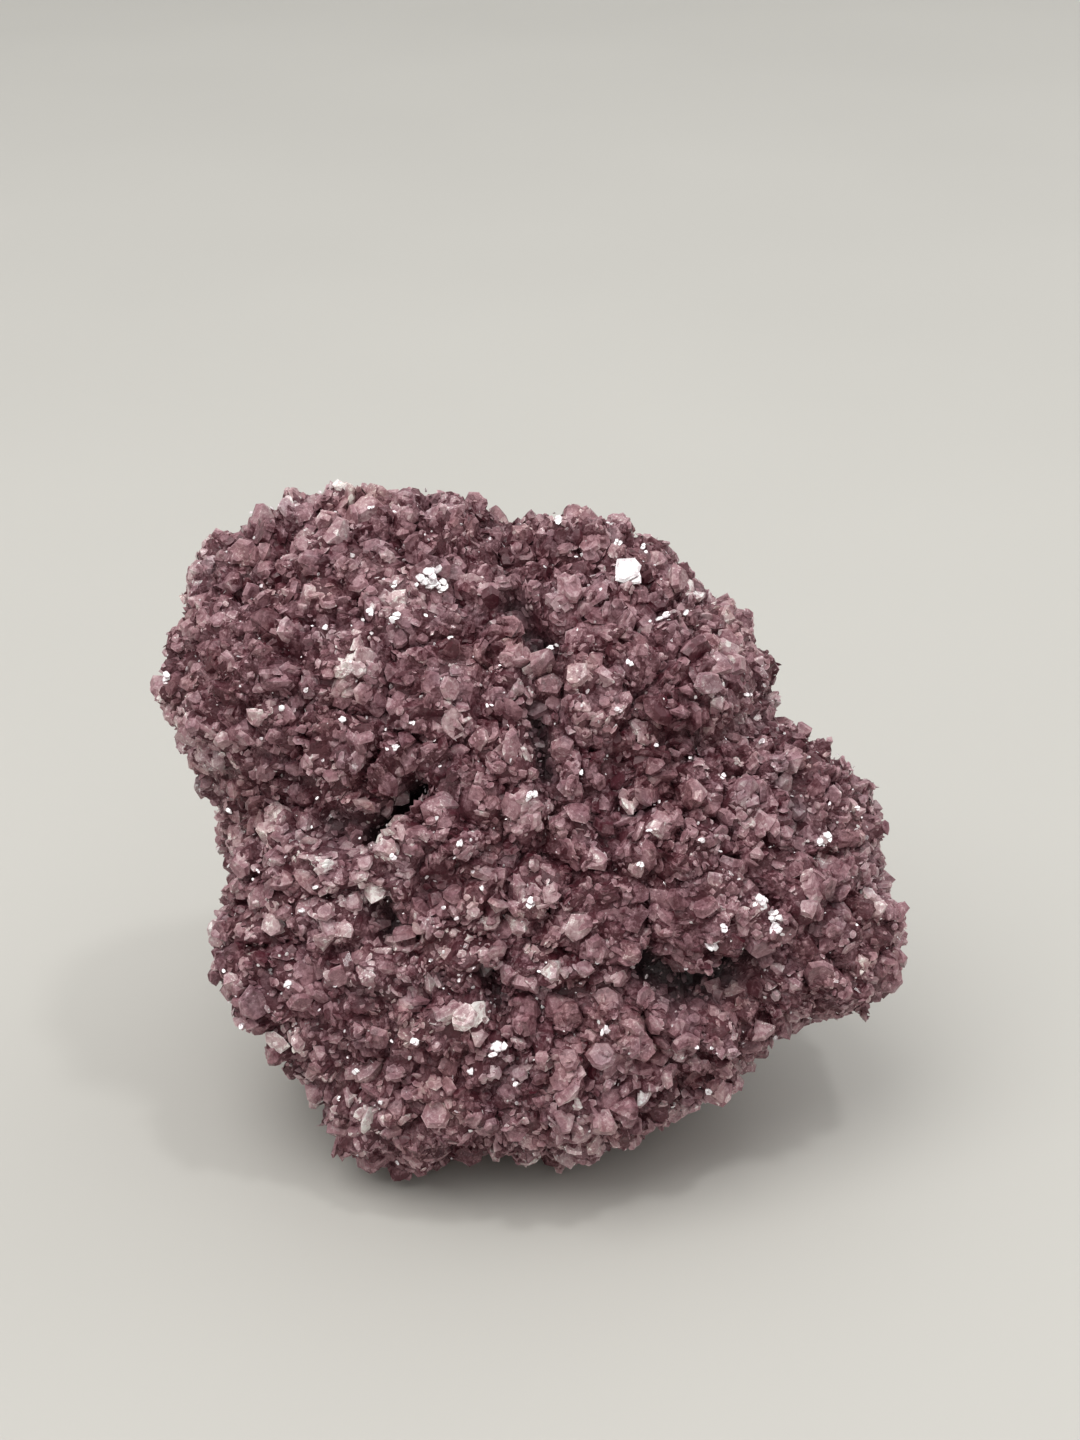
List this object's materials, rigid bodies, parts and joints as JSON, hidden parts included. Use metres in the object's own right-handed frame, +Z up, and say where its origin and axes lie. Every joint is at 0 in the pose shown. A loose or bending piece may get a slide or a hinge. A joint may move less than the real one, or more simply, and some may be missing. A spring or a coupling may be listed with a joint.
{
  "type": "lepidolite specimen",
  "caption": "Chunky hand specimen of granular lepidolite, a mauve mica, covered in flat-faced crystal grains, for display standing on its worn underside.",
  "frame": {"origin": "on the table, under the middle of the bounding box", "axes": "+Z up, -Y out of the broad face that the picture shows, +X to the right seen from there, along the longest side"},
  "size_m": [0.0908, 0.068, 0.0756],
  "materials": {
    "lepidolite": "rough mauve mica grains with pearly, glittering cleavage faces"
  },
  "bodies": {
    "root": {"lepidolite": "lepidolite"}
  },
  "joints": []
}
